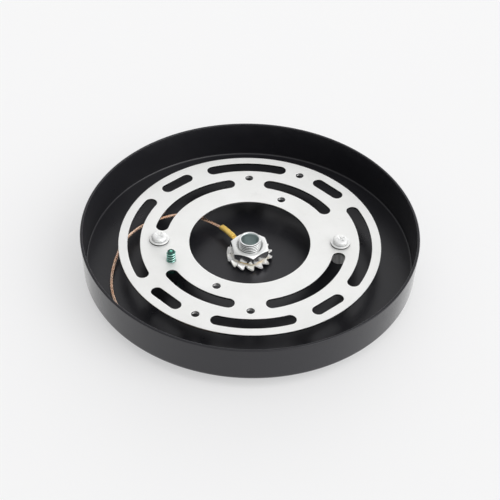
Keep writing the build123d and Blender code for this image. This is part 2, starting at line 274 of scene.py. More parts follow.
# ------------------------------------------------------------------ materials
class Paint:
    """One node material: small words for the nodes that every finish here uses."""

    def __init__(self, name, **sockets):
        self.material = bpy.data.materials.new(name)
        self.material.use_nodes = True
        self.tree = self.material.node_tree
        self.shader = next(n for n in self.tree.nodes if n.type == "BSDF_PRINCIPLED")
        for key, value in sockets.items():
            self.shader.inputs[key.replace("_", " ")].default_value = value
        self.coords = self.tree.nodes.new("ShaderNodeTexCoord").outputs["Object"]

    def node(self, kind, **settings):
        n = self.tree.nodes.new(kind)
        for key, value in settings.items():
            setattr(n, key, value)
        return n

    def link(self, a, b):
        self.tree.links.new(a, b)

    def stretched(self, x=1.0, y=1.0, z=1.0):
        m = self.node("ShaderNodeMapping")
        m.inputs["Scale"].default_value = (x, y, z)
        self.link(self.coords, m.inputs["Vector"])
        return m.outputs["Vector"]

    def noise(self, size_mm, detail=3.0, rough=0.55, coords=None, distortion=0.0):
        n = self.node("ShaderNodeTexNoise")
        n.inputs["Scale"].default_value = 1000.0 / size_mm
        n.inputs["Detail"].default_value = detail
        n.inputs["Roughness"].default_value = rough
        n.inputs["Distortion"].default_value = distortion
        self.link(coords or self.coords, n.inputs["Vector"])
        return n.outputs["Fac"]

    def voronoi(self, size_mm, feature="F1"):
        n = self.node("ShaderNodeTexVoronoi", feature=feature)
        n.inputs["Scale"].default_value = 1000.0 / size_mm
        self.link(self.coords, n.inputs["Vector"])
        return n.outputs["Distance"]

    def spread(self, value, low, high, to_low=0.0, to_high=1.0, smooth=False):
        n = self.node("ShaderNodeMapRange")
        n.interpolation_type = "SMOOTHSTEP" if smooth else "LINEAR"
        self.link(value, n.inputs["Value"])
        for key, v in (("From Min", low), ("From Max", high), ("To Min", to_low), ("To Max", to_high)):
            n.inputs[key].default_value = v
        return n.outputs["Result"]

    def height(self):
        n = self.node("ShaderNodeSeparateXYZ")
        self.link(self.coords, n.inputs[0])
        return n.outputs["Z"]

    def radius(self, x=0.0, y=0.0):
        """Distance from an upright axis through x, y, given in millimetres."""
        n = self.node("ShaderNodeMapping")
        n.inputs["Location"].default_value = (-x / 1000, -y / 1000, 0.0)
        n.inputs["Scale"].default_value = (1.0, 1.0, 0.0)
        self.link(self.coords, n.inputs["Vector"])
        flat = self.node("ShaderNodeVectorMath", operation="LENGTH")
        self.link(n.outputs["Vector"], flat.inputs[0])
        return flat.outputs["Value"]

    def math(self, operation, a, b=None):
        n = self.node("ShaderNodeMath", operation=operation)
        for i, v in enumerate((a, b)):
            if v is None:
                continue
            if isinstance(v, (int, float)):
                n.inputs[i].default_value = v
            else:
                self.link(v, n.inputs[i])
        return n.outputs["Value"]

    def mix(self, amount, a, b):
        n = self.node("ShaderNodeMix", data_type="RGBA")
        self.link(amount, n.inputs["Factor"])
        for socket, v in ((n.inputs[6], a), (n.inputs[7], b)):
            if isinstance(v, tuple):
                socket.default_value = (*v, 1.0)
            else:
                self.link(v, socket)
        return n.outputs[2]

    def colour(self, value):
        self.link(value, self.shader.inputs["Base Color"])
        return self

    def roughness(self, value):
        self.link(value, self.shader.inputs["Roughness"])
        return self

    def bump(self, height, depth_mm, strength=1.0, onto=None):
        n = self.node("ShaderNodeBump")
        n.inputs["Strength"].default_value = strength
        n.inputs["Distance"].default_value = depth_mm / 1000.0
        self.link(height, n.inputs["Height"])
        if onto is not None:
            self.link(onto, n.inputs["Normal"])
        self.link(n.outputs["Normal"], self.shader.inputs["Normal"])
        return n.outputs["Normal"]


def powder_coat(name, base=0.0105, rough=(0.27, 0.37), outside=None):
    p = Paint(name, Specular_IOR_Level=0.5, IOR=1.58)
    p.shader.inputs["Specular Tint"].default_value = (0.975, 0.970, 1.0, 1.0)
    cloud = p.noise(28, 3)
    fleck = p.spread(p.noise(0.55, 1.0), 0.40, 0.62)
    tone = p.mix(cloud, (base * 0.82, base * 0.82, base * 1.05), (base * 1.16, base * 1.15, base * 1.42))
    tone = p.mix(p.math("MULTIPLY", fleck, 0.28), tone, (base * 1.8, base * 1.8, base * 2.2))
    # a few specks of dust and lint
    dust = p.spread(p.voronoi(6.5), 0.028, 0.012, 0.0, 1.0)
    some = p.spread(p.noise(9, 1.0), 0.57, 0.60)
    tone = p.mix(p.math("MULTIPLY", p.math("MULTIPLY", dust, some), 0.5), tone, (0.20, 0.20, 0.20))
    p.colour(tone)
    wave = p.spread(p.noise(11, 4), 0.3, 0.7, *rough)
    if outside is not None:
        # the outside was sprayed square on, so it is smoother than the inside
        where = p.spread(p.radius(), 0.07595, 0.07605)
        wave = p.math("SUBTRACT", wave, p.math("MULTIPLY", where, outside))
        p.link(p.spread(where, 0.0, 1.0, 0.0, 0.75), p.shader.inputs["Sheen Weight"])
        p.link(p.spread(where, 0.0, 1.0, 1.58, 1.50), p.shader.inputs["IOR"])
        p.shader.inputs["Sheen Roughness"].default_value = 0.25
    p.roughness(wave)
    peel = p.math("ADD", p.noise(1.5, 2.0, 0.5), p.math("MULTIPLY", p.noise(0.35, 1.0), 0.25))
    p.bump(peel, 0.018, 0.45)
    return p.material


def zinc(name, colour=(0.86, 0.868, 0.862), rough=(0.22, 0.34), mottle=4.0, tint=(0.84, 0.85, 0.80), grain=0.012, metal=1.0, zone=None, dark=0.3, smooth=0.0):
    """Bright zinc. A zone is a part whose colour is darkened as painted shade, and which is smoother and fully
    metallic.
    """
    p = Paint(name, Metallic=metal)
    cloud = p.noise(mottle, 4, 0.6)
    tone = p.mix(p.spread(cloud, 0.32, 0.68), tuple(c * 0.955 for c in colour), tuple(min(1.0, c * 1.04) for c in colour))
    tone = p.mix(p.spread(p.noise(mottle * 2.2, 2), 0.52, 0.72, 0.0, 0.55), tone, tint)
    # dull specks where the plating is thin
    speck = p.math("MULTIPLY", p.spread(p.noise(0.5, 2), 0.66, 0.74), p.spread(p.noise(3.1, 1.0), 0.55, 0.65))
    tone = p.mix(p.math("MULTIPLY", speck, 0.5), tone, tuple(c * 0.55 for c in colour))
    fine = p.noise(0.30, 3, 0.6)
    wave = p.spread(p.math("ADD", p.math("MULTIPLY", cloud, 0.7), p.math("MULTIPLY", fine, 0.3)), 0.3, 0.7, *rough)
    if zone:
        where = zone(p)
        # painted shade: the zone's colour is mixed towards the dark tone
        tone = p.mix(where, tone, (dark, dark, dark))
        wave = p.math("SUBTRACT", wave, p.math("MULTIPLY", where, smooth))
        p.link(p.spread(where, 0.0, 1.0, metal, 1.0), p.shader.inputs["Metallic"])
    p.colour(tone)
    p.roughness(wave)
    p.bump(p.math("ADD", fine, p.math("MULTIPLY", p.noise(1.3, 2), 0.8)), grain, 0.55)
    return p.material


def nipple_zinc():
    """Zinc on the thread and the end, with painted shade in the thread's grooves and a darker, grey-teal painted shade
    inside the bore.
    """
    p = Paint("nipple_zinc", Metallic=0.92)
    cloud = p.noise(3.4, 3, 0.5)
    tone = p.mix(p.spread(cloud, 0.32, 0.68), (0.90, 0.915, 0.91), (0.95, 0.96, 0.955))
    # the thread's grooves below the end get painted shade
    r = p.radius()
    below_end = p.spread(p.height(), (NIPPLE_TOP - 0.22) / 1000, (NIPPLE_TOP - 0.34) / 1000)
    groove = p.math("MULTIPLY", p.spread(r, 0.00478, 0.00458), below_end)
    tone = p.mix(groove, tone, (0.10, 0.11, 0.11))
    # painted shade: the inside of the bore is darkened to a grey-teal
    bore = p.spread(r, 0.00422, 0.00408, 0.0, 1.0)
    tone = p.mix(bore, tone, (0.60, 0.675, 0.67))
    p.colour(tone)
    p.roughness(p.spread(cloud, 0.3, 0.7, 0.30, 0.42))
    p.bump(p.noise(0.35, 2), 0.006, 0.4)
    return p.material


def plate_zinc():
    p = Paint("plate_zinc", Specular_IOR_Level=0.4)
    cloud = p.noise(17, 4, 0.6)
    spangle = p.noise(2.3, 3, 0.6)
    tone = p.mix(p.spread(cloud, 0.33, 0.67), (0.880, 0.882, 0.868), (0.925, 0.927, 0.918))
    tone = p.mix(p.spread(spangle, 0.35, 0.75, 0.0, 0.30), tone, (0.93, 0.93, 0.912))
    # rubbed and stained places from stamping and handling
    rub = p.math("MULTIPLY", p.spread(p.noise(7.5, 5, 0.7), 0.60, 0.74), 0.35)
    tone = p.mix(rub, tone, (0.80, 0.802, 0.785))
    pit = p.math("MULTIPLY", p.spread(p.voronoi(2.6), 0.045, 0.02), p.spread(p.noise(6.0, 1.0), 0.56, 0.60))
    tone = p.mix(p.math("MULTIPLY", pit, 0.6), tone, (0.42, 0.42, 0.40))
    # sheared edges and the walls of the holes are bare steel, smoother and fully metallic; their colour is darkened as
    # a painted reflection of the black pan
    cut = p.spread(p.height(), (PLATE_TOP - 0.06) / 1000, (PLATE_TOP - 0.15) / 1000)
    tone = p.mix(cut, tone, (0.30, 0.30, 0.30))
    p.colour(tone)
    p.link(p.spread(cut, 0.0, 1.0, 0.62, 1.0), p.shader.inputs["Metallic"])
    # rolling grain of the sheet runs one way
    grain = p.noise(0.35, 3, 0.6, coords=p.stretched(1.0, 0.06, 1.0))
    wave = p.spread(p.math("ADD", p.math("MULTIPLY", cloud, 0.5), p.math("MULTIPLY", grain, 0.5)), 0.3, 0.7, 0.50, 0.62)
    p.roughness(p.math("SUBTRACT", wave, p.math("MULTIPLY", cut, 0.30)))
    scratch = p.spread(p.noise(0.55, 1.0, 0.5, coords=p.stretched(0.7, 0.03, 1.0), distortion=0.4), 0.70, 0.76)
    height = p.math("SUBTRACT", p.math("ADD", grain, p.math("MULTIPLY", p.noise(1.1, 2), 0.7)), p.math("MULTIPLY", scratch, 0.9))
    p.bump(height, 0.009, 0.5)
    return p.material


def brass():
    p = Paint("terminal_brass", Metallic=0.45)
    cloud = p.noise(2.4, 4, 0.6)
    tone = p.mix(p.spread(cloud, 0.3, 0.7), (0.90, 0.60, 0.13), (0.97, 0.72, 0.22))
    stain = p.spread(p.noise(1.1, 4, 0.65), 0.60, 0.76, 0.0, 0.35)
    tone = p.mix(stain, tone, (0.62, 0.42, 0.13))
    p.colour(tone)
    grain = p.noise(0.22, 3)
    p.roughness(p.spread(p.math("ADD", p.math("MULTIPLY", cloud, 0.6), p.math("MULTIPLY", grain, 0.4)), 0.3, 0.7, 0.36, 0.50))
    p.bump(grain, 0.012, 0.5)
    return p.material


def copper():
    p = Paint("strand_copper", Metallic=1.0)
    along = p.noise(6.0, 3, 0.6)
    tone = p.mix(p.spread(along, 0.34, 0.66), (0.93, 0.60, 0.41), (0.99, 0.76, 0.60))
    pink = p.spread(p.noise(11.0, 2), 0.54, 0.68, 0.0, 0.4)
    tone = p.mix(pink, tone, (0.95, 0.64, 0.56))
    dull = p.spread(p.noise(1.0, 4, 0.65), 0.62, 0.76, 0.0, 0.5)
    tone = p.mix(dull, tone, (0.52, 0.27, 0.15))
    p.colour(tone)
    p.roughness(p.spread(p.noise(0.8, 3), 0.3, 0.7, 0.20, 0.34))
    p.bump(p.noise(0.16, 2), 0.006, 0.5)
    return p.material


def green_zinc(name):
    """Green dye over bright zinc. Above the plate the thread's crests get a painted highlight and its grooves painted
    shade, and the middle of the cut end a painted highlight.
    """
    p = Paint(name, Metallic=0.80, Coat_Weight=1.0, Coat_Roughness=0.07)
    cloud = p.noise(1.6, 4, 0.6)
    tone = p.mix(p.spread(cloud, 0.3, 0.7), (0.012, 0.22, 0.16), (0.04, 0.38, 0.28))
    worn = p.spread(p.noise(0.55, 3, 0.6), 0.62, 0.74, 0.0, 0.5)
    tone = p.mix(worn, tone, (0.30, 0.62, 0.52))
    r = p.radius(*GROUND_XY)
    upper = p.spread(p.height(), (PLATE_BOTTOM + 0.2) / 1000, (PLATE_TOP + 0.1) / 1000)
    # painted shade in the thread's grooves
    groove = p.math("MULTIPLY", p.spread(r, 0.00178, 0.00162), upper)
    tone = p.mix(groove, tone, (0.004, 0.085, 0.065))
    # painted highlight on the thread's crests
    bright = p.math("MULTIPLY", p.spread(r, 0.00188, 0.00200), upper)
    tone = p.mix(bright, tone, (0.66, 0.92, 0.86))
    # painted highlight in the middle of the cut end
    tip = p.math("MULTIPLY", p.spread(r, 0.00072, 0.00055), upper)
    tone = p.mix(tip, tone, (0.16, 0.72, 0.52))
    p.colour(tone)
    p.roughness(p.spread(p.noise(0.7, 3), 0.3, 0.7, 0.12, 0.22))
    p.bump(p.noise(0.3, 2), 0.005, 0.4)
    return p.material


def nylon():
    p = Paint("natural_nylon", Subsurface_Weight=0.25, Specular_IOR_Level=0.5)
    p.shader.inputs["Subsurface Radius"].default_value = (0.002, 0.002, 0.0018)
    p.colour(p.mix(p.noise(2.5, 3), (0.70, 0.69, 0.63), (0.79, 0.785, 0.74)))
    p.roughness(p.spread(p.noise(1.0, 3), 0.3, 0.7, 0.38, 0.55))
    p.bump(p.noise(0.4, 2), 0.012, 0.4)
    return p.material


def fibre():
    p = Paint("black_fibre")
    threads = p.noise(0.45, 3, 0.7, coords=p.stretched(1.0, 0.25, 1.0))
    p.colour(p.mix(p.spread(threads, 0.35, 0.7), (0.022, 0.021, 0.020), (0.060, 0.056, 0.050)))
    p.roughness(p.spread(p.noise(1.2, 3), 0.3, 0.7, 0.62, 0.82))
    p.bump(threads, 0.03, 0.6)
    return p.material


def nut_flats_shade(p):
    """The six flats and the tapped mouth of the nut, without its top face and its chamfer: the flats are darkened as
    painted shade, the mouth a little.
    """
    r, z = p.radius(), p.height()
    under_cone = p.spread(p.math("ADD", z, p.math("MULTIPLY", r, 0.577)), (NUT_TOP + 7.9 * 0.577 - 0.10) / 1000, (NUT_TOP + 7.9 * 0.577 - 0.22) / 1000)
    side = p.math("MULTIPLY", under_cone, p.spread(r, 0.0077, 0.0079))
    mouth = p.math("MULTIPLY", p.spread(r, 0.00618, 0.00606), p.spread(z, (NUT_TOP - 0.02) / 1000, (NUT_TOP - 0.10) / 1000))
    return p.math("MAXIMUM", side, p.math("MULTIPLY", mouth, 0.12))


# painted shade along the lower edge of the washers, where they sit on the plate
def washer_foot_shade(p):
    return p.spread(p.height(), (PLATE_TOP + 0.70) / 1000, (PLATE_TOP + 0.58) / 1000)


# painted shade at the foot of the screw heads, where they meet the washers
def head_foot_shade(p):
    return p.spread(p.height(), (PLATE_TOP + WASHER_T + 0.30) / 1000, (PLATE_TOP + WASHER_T + 0.18) / 1000)


def tooth_feet_shade(p):
    """The low edges of the twisted teeth, darkened as painted shade between the teeth."""
    return p.spread(p.height(), (STAR_Z - 0.15) / 1000, (STAR_Z - 0.55) / 1000)


# painted reflections: dark upright streaks on the standoffs
def reflection_streaks(p):
    return p.spread(p.noise(2.0, 2, 0.5, coords=p.stretched(1.0, 1.0, 0.05)), 0.46, 0.56, 0.0, 0.8)


COAT = powder_coat("pan_powder_coat", outside=0.12)
COAT_SMALL = powder_coat("hardware_black_coat", base=0.014, rough=(0.20, 0.30))
PLATE = plate_zinc()
# the darker zones of these zincs are painted shade: the nut's flats and mouth, the teeth's low edges, the feet of screw
# heads and washers; on the standoffs, painted dark reflection streaks
ZINC_NUT = zinc("nut_zinc", colour=(0.95, 0.955, 0.95), rough=(0.40, 0.50), mottle=3.2, metal=0.70, zone=nut_flats_shade, dark=0.70, smooth=0.24)
ZINC_NIPPLE = nipple_zinc()
ZINC_STAR = zinc("star_washer_zinc", colour=(0.965, 0.965, 0.955), rough=(0.30, 0.42), mottle=2.2, tint=(0.92, 0.90, 0.74), metal=0.20, zone=tooth_feet_shade, dark=0.28)
ZINC_SCREW = zinc("screw_zinc", colour=(0.90, 0.905, 0.90), rough=(0.38, 0.50), mottle=1.8, metal=0.50, zone=head_foot_shade, dark=0.12)
ZINC_WASHER = zinc("washer_zinc", colour=(0.89, 0.895, 0.89), rough=(0.40, 0.52), mottle=2.4, metal=0.55, zone=washer_foot_shade, dark=0.05)
ZINC_TURNED = zinc("standoff_zinc", colour=(0.96, 0.965, 0.96), rough=(0.30, 0.42), mottle=3.0, metal=0.05, zone=reflection_streaks, dark=0.30)
BRASS = brass()
COPPER = copper()
GREEN = green_zinc("green_dyed_zinc")
GREEN_WASHER = green_zinc("green_dyed_washer")
NYLON = nylon()
FIBRE = fibre()


# ------------------------------------------------------------------ ground lead: the cord first
def lead_route():
    """The lead's route as one smooth curve through the route's control points."""
    curve = bpy.data.curves.new("lead_route", "CURVE")
    curve.dimensions, curve.resolution_u = "3D", 24
    spline = curve.splines.new("NURBS")
    spline.points.add(len(WIRE_POINTS) - 1)
    for point, (x, y, z) in zip(spline.points, WIRE_POINTS):
        point.co = (x / 1000, y / 1000, z / 1000, 1.0)
    spline.order_u = 3
    spline.use_endpoint_u = True
    obj = bpy.data.objects.new("lead_route", curve)
    mesh = bpy.data.meshes.new_from_object(obj)
    line = np.array([v.co for v in mesh.vertices], float) * 1000
    bpy.data.objects.remove(obj)
    bpy.data.meshes.remove(mesh)
    return line


def along(line, step):
    length = np.concatenate([[0], np.cumsum(np.linalg.norm(np.diff(line, axis=0), axis=1))])
    at = np.linspace(0, length[-1], int(length[-1] / step) + 1)
    return np.stack([np.interp(at, length, line[:, k]) for k in range(3)], axis=1), at


def frames(line):
    """Steady side vectors along a line, with no twist of their own."""
    tangent = np.gradient(line, axis=0)
    tangent /= np.linalg.norm(tangent, axis=1)[:, None]
    side = np.cross(tangent[0], (0, 0, 1.0))
    sides = []
    for t in tangent:
        side = side - t * (side @ t)
        side = side / np.linalg.norm(side)
        sides.append(side)
    sides = np.array(sides)
    return tangent, sides, np.cross(tangent, sides)


def tube(points, radius, sides_n, verts, faces, dome=True):
    """Adds a tube of that radius along the points, closed at both ends."""
    tangent, u, v = frames(points)
    n = len(points)
    radius = np.broadcast_to(np.asarray(radius, float), (n,))
    a = np.arange(sides_n) * TAU / sides_n
    base = len(verts)
    for p, s, w, r in zip(points, u, v, radius):
        verts.extend((p + r * (math.cos(t) * s + math.sin(t) * w)).tolist() for t in a)
    faces.extend(grid_faces(n, sides_n, wrap_u=False, base=base))
    for index, sign in ((0, -1), (n - 1, 1)):
        tip = len(verts)
        verts.append((points[index] + sign * tangent[index] * (radius[index] * 0.25 if dome else 0)).tolist())
        ring = base + index * sides_n
        faces.extend((ring + j, ring + (j + 1) % sides_n, tip) for j in range(sides_n))


route = lead_route()
line, distance = along(route, 0.45)
tangent, side_u, side_v = frames(line)
LAY, STRAND_R = 10.5, 0.235
verts, faces = [], []
tube(line, STRAND_R, 8, verts, faces)
rng = np.random.default_rng(11)
for k in range(6):
    # the strands lie together, and part a little at the cut end
    loose = 1 + 0.04 * np.sin(distance / 17.0 + k * 2.1) + 0.03 * np.sin(distance / 6.1 + k * 4.0)
    open_end = np.clip((distance - distance[-1] + 5.0) / 5.0, 0, 1) ** 2 * rng.uniform(0.2, 0.9)
    ring = (WIRE_R - STRAND_R) * np.clip(loose, 0.94, 1.0) * (1 + open_end * 0.45)
    turn = TAU * (distance / LAY + k / 6) + 0.10 * np.sin(distance / 9.0 + k)
    path = line + ring[:, None] * (np.cos(turn)[:, None] * side_u + np.sin(turn)[:, None] * side_v)
    cut = len(path) - int(rng.integers(0, 3))
    tube(path[:cut], STRAND_R, 8, verts, faces)
strands = raw_object("ground_lead_strands", verts, faces, weld=1e-8)
piece(strands, "canopy", "ground_wire", COPPER, sharp=60)


# ------------------------------------------------------------------ canopy pan
def pan():
    lean = (RIM_R - BASE_R) / PAN_DEPTH
    tilt = math.degrees(math.atan(lean))
    inner_base = BASE_R - SHEET + lean * SHEET
    outer_rim = RIM_R - 0.001
    inner_rim = RIM_R - SHEET
    r_in, r_out, rim_in, rim_out = CORNER_R - SHEET, CORNER_R, 0.16, 0.40
    # inner corner: the arc touches the floor and the leaning wall
    half = math.radians(90 - tilt) / 2
    cin = (inner_base - r_in * math.tan(half), FLOOR + r_in)
    cout = (BASE_R - r_out * math.tan(half), PAN_BOTTOM + r_out)
    n = 360
    line_rz = [(cin[0] - 0.8, FLOOR), (cin[0] - 0.3, FLOOR)]
    line_rz += bend(*cin, r_in, -90, -tilt, 9)
    start = line_rz[-1]
    # the wall, then the rolled-over rim
    cri = (inner_rim + rim_in - rim_in * lean, RIM_Z - rim_in)
    cro = (outer_rim - rim_out - rim_out * lean, RIM_Z - rim_out)
    line_rz += run(start, (inner_rim - rim_in * lean, RIM_Z - rim_in), 26)[1:]
    line_rz += bend(*cri, rim_in, 180 - tilt, 90, 7)[1:]
    line_rz += bend(*cro, rim_out, 90, -tilt, 12)
    last = bend(*cout, r_out, -tilt, -90, 12)
    line_rz += run(line_rz[-1], last[0], 26)[1:-1]
    line_rz += last
    line_rz += [(cout[0] - 0.5, PAN_BOTTOM)]
    line_rz = np.array(line_rz)
    angles = np.arange(n) * TAU / n
    outer = [np.column_stack([r * np.cos(angles), r * np.sin(angles), np.full(n, z)]) for r, z in line_rz]
    holes = [edge_column(lambda g: circle(0, 0, 5.2 + g, 96), FLOOR, PAN_BOTTOM, 0.2, 0.2)]
    for x, y in SCREW_XY.values():
        holes.append(edge_column(lambda g, x=x, y=y: circle(x, y, 2.2 + g, 48), FLOOR, PAN_BOTTOM, 0.15, 0.15))
    return sheet("pan_drawn_steel", FLOOR, PAN_BOTTOM, [outer, *holes])


piece(pan(), "canopy", "canopy_pan", COAT, sharp=40)


# ------------------------------------------------------------------ mounting plate
def arc_slot(radius, centre, span, g):
    """Outline of an arc slot, grown by g."""
    half, w = math.radians(span) / 2, SLOT_W / 2 + g
    mid = math.radians(centre)
    a = np.linspace(mid - half, mid + half, 34)
    outer = np.column_stack([(radius + w) * np.cos(a), (radius + w) * np.sin(a)])
    inner = np.column_stack([(radius - w) * np.cos(a[::-1]), (radius - w) * np.sin(a[::-1])])
    cap = np.linspace(0, math.pi, 16)[1:-1]
    end, begin = mid + half, mid - half
    c1 = np.array([radius * math.cos(end), radius * math.sin(end)])
    c2 = np.array([radius * math.cos(begin), radius * math.sin(begin)])
    cap1 = c1 + w * np.column_stack([np.cos(end + cap), np.sin(end + cap)])
    cap2 = c2 + w * np.column_stack([np.cos(begin + math.pi + cap), np.sin(begin + math.pi + cap)])
    return np.vstack([outer, cap1, inner, cap2])


def short_slot(angle, g):
    a = math.radians(angle)
    out, side = np.array([math.cos(a), math.sin(a)]), np.array([-math.sin(a), math.cos(a)])
    c, w = out * SHORT_SLOT_R, SHORT_SLOT_W / 2 + g
    half = (SHORT_SLOT_L - SHORT_SLOT_W) / 2
    t = np.linspace(-math.pi / 2, math.pi / 2, 16)
    one = [c + side * (half + w * math.cos(x)) + out * (w * math.sin(x)) for x in t]
    two = [c - side * (half + w * math.cos(x)) - out * (w * math.sin(x)) for x in t]
    return np.array(one + two)


def tapped_column(x, y, collar_r, hole_r, major_r, pitch, n=48):
    """Rows of an extruded and tapped hole: rolled mouth, thread, collar, root of the collar."""
    low = PLATE_BOTTOM - TAP_COLLAR_H
    a = np.arange(n) * TAU / n
    mouth = 0.34
    rows = [at_height(circle(x, y, hole_r + mouth + 0.3, n), PLATE_TOP)]
    for t in np.linspace(0, math.pi / 2, 6):
        rows.append(at_height(circle(x, y, hole_r + mouth * (1 - math.sin(t)), n), PLATE_TOP - mouth * (1 - math.cos(t))))
    for z in thread_rows(PLATE_TOP - mouth - 0.04, low + 0.16, pitch, 16):
        fade = min(1.0, (PLATE_TOP - mouth - z) / 0.2, (z - low - 0.1) / 0.2)
        r = np.array([hole_r + (major_r - hole_r) * crest(z, t + math.pi, pitch) * max(0.0, fade) for t in a])
        rows.append(np.column_stack([x + r * np.cos(a), y + r * np.sin(a), np.full(n, z)]))
    rows.append(at_height(circle(x, y, hole_r + 0.1, n), low))
    rows.append(at_height(circle(x, y, collar_r - 0.15, n), low))
    rows.append(at_height(circle(x, y, collar_r, n), low + 0.15))
    for t in np.linspace(0, math.pi / 2, 5):
        rows.append(at_height(circle(x, y, collar_r + 0.25 * (1 - math.cos(t)), n), PLATE_BOTTOM - 0.25 * (1 - math.sin(t))))
    rows.append(at_height(circle(x, y, collar_r + 0.5, n), PLATE_BOTTOM))
    return rows


def plate():
    columns = [edge_column(lambda g: circle(0, 0, PLATE_R - g, 300), PLATE_TOP, PLATE_BOTTOM, 0.13, 0.06)]
    outlines = [lambda g: circle(0, 0, PLATE_HOLE_R + g, 180)]
    for radius, arcs in ((OUTER_SLOT_R, OUTER_ARCS), (INNER_SLOT_R, INNER_ARCS)):
        for centre, span in arcs:
            for turn in (0, 180):
                outlines.append(lambda g, r=radius, c=centre + turn, s=span: arc_slot(r, c, s, g))
    for centre in SHORT_SLOTS:
        for turn in (0, 180):
            outlines.append(lambda g, c=centre + turn: short_slot(c, g))
    for x, y in SCREW_XY.values():
        outlines.append(lambda g, x=x, y=y: circle(x, y, 2.2 + g, 40))
    columns += [edge_column(o, PLATE_TOP, PLATE_BOTTOM, 0.13, 0.06) for o in outlines]
    for radius, angle in TAP_HOLES:
        for turn in (0, 180):
            a = math.radians(angle + turn)
            columns.append(tapped_column(radius * math.cos(a), radius * math.sin(a), TAP_COLLAR_R, TAP_R, 2.08, 0.79375))
    columns.append(tapped_column(*GROUND_XY, TAP_COLLAR_R + 0.3, 2.12, 2.12, 1.4))
    return sheet("plate_stamped", PLATE_TOP, PLATE_BOTTOM, columns)


piece(plate(), "plate_assembly", "mounting_plate", PLATE, sharp=34)


# ------------------------------------------------------------------ centre stack
def hex_radius(angle, across, corner, round_off=0.10):
    flat = (angle - corner + math.pi / 6 + math.pi / 6) % (math.pi / 3) - math.pi / 6
    return min(across / 2 / math.cos(flat), across / 2 / math.cos(math.pi / 6) - round_off)


def hex_nut():
    bore, mouth = 5.05, 1.1
    slope = math.tan(math.radians(30))

    def outline(a):
        r = hex_radius(a, NUT_AF, NUT_CORNER)
        drop = (r - 7.9) * slope
        low = max(0.06, (r - 8.3) * 0.42)
        points = [(bore, NUT_TOP - mouth), (bore + mouth * 0.5, NUT_TOP - mouth * 0.5), (bore + mouth - 0.05, NUT_TOP - 0.06),
                  (bore + mouth + 0.04, NUT_TOP), (6.9, NUT_TOP), (7.78, NUT_TOP), (7.9, NUT_TOP - 0.035)]
        points += [(7.9 + (r - 7.9) * t, NUT_TOP - 0.035 - drop * t) for t in (0.35, 0.7)]
        points += [(r - 0.07, NUT_TOP - drop - 0.0), (r - 0.015, NUT_TOP - drop - 0.07), (r, NUT_TOP - drop - 0.16)]
        points += [(r, NUT_TOP - drop - 0.16 + (NUT_BOTTOM + low + 0.1 - NUT_TOP + drop + 0.16) * t) for t in (0.33, 0.67, 1.0)]
        points += [(r - 0.04, NUT_BOTTOM + low), (max(8.0, r - 0.25 - low * 0.8), NUT_BOTTOM), (7.6, NUT_BOTTOM), (bore + 0.5, NUT_BOTTOM), (bore, NUT_BOTTOM + 0.5)]
        return points

    verts, faces = polar(outline, 180, start=NUT_CORNER)
    return raw_object("nut_hexagon", verts, faces)


piece(hex_nut(), "canopy", "hex_nut", ZINC_NUT, sharp=24)


def nipple():
    top, bottom, pitch = NIPPLE_TOP, 0.3, 1.0
    rows = thread_rows(top - 0.06, bottom + 0.12, pitch, 15)

    def outline(a):
        points = run((4.0, bottom + 0.25), (4.0, top - 0.30), 12)
        points += [(4.10, top - 0.20), (4.24, top - 0.03), (4.29, top), (4.80, top)]
        for z in rows:
            r = 4.36 + 0.64 * crest(z, a, pitch)
            end = min(top - z, z - bottom)
            points.append((min(r, 4.80 + end * 0.95), z))
        points += [(4.45, bottom), (4.3, bottom), (4.2, bottom + 0.02), (4.06, bottom + 0.10)]
        return points

    verts, faces = polar(outline, 96)
    return raw_object("nipple_threaded", verts, faces)


piece(nipple(), "canopy", "nipple", ZINC_NIPPLE, sharp=50)


def rounded_bar(width, thick, radius, steps=3):
    """Outline of a bar's section, in its own (across, up) axes."""
    points = []
    for cx, cy, start in ((1, 1, 0), (-1, 1, 90), (-1, -1, 180), (1, -1, 270)):
        for a in np.radians(np.linspace(start, start + 90, steps)):
            points.append((cx * (width / 2 - radius) + radius * math.cos(a), cy * (thick / 2 - radius) + radius * math.sin(a)))
    return np.array(points)


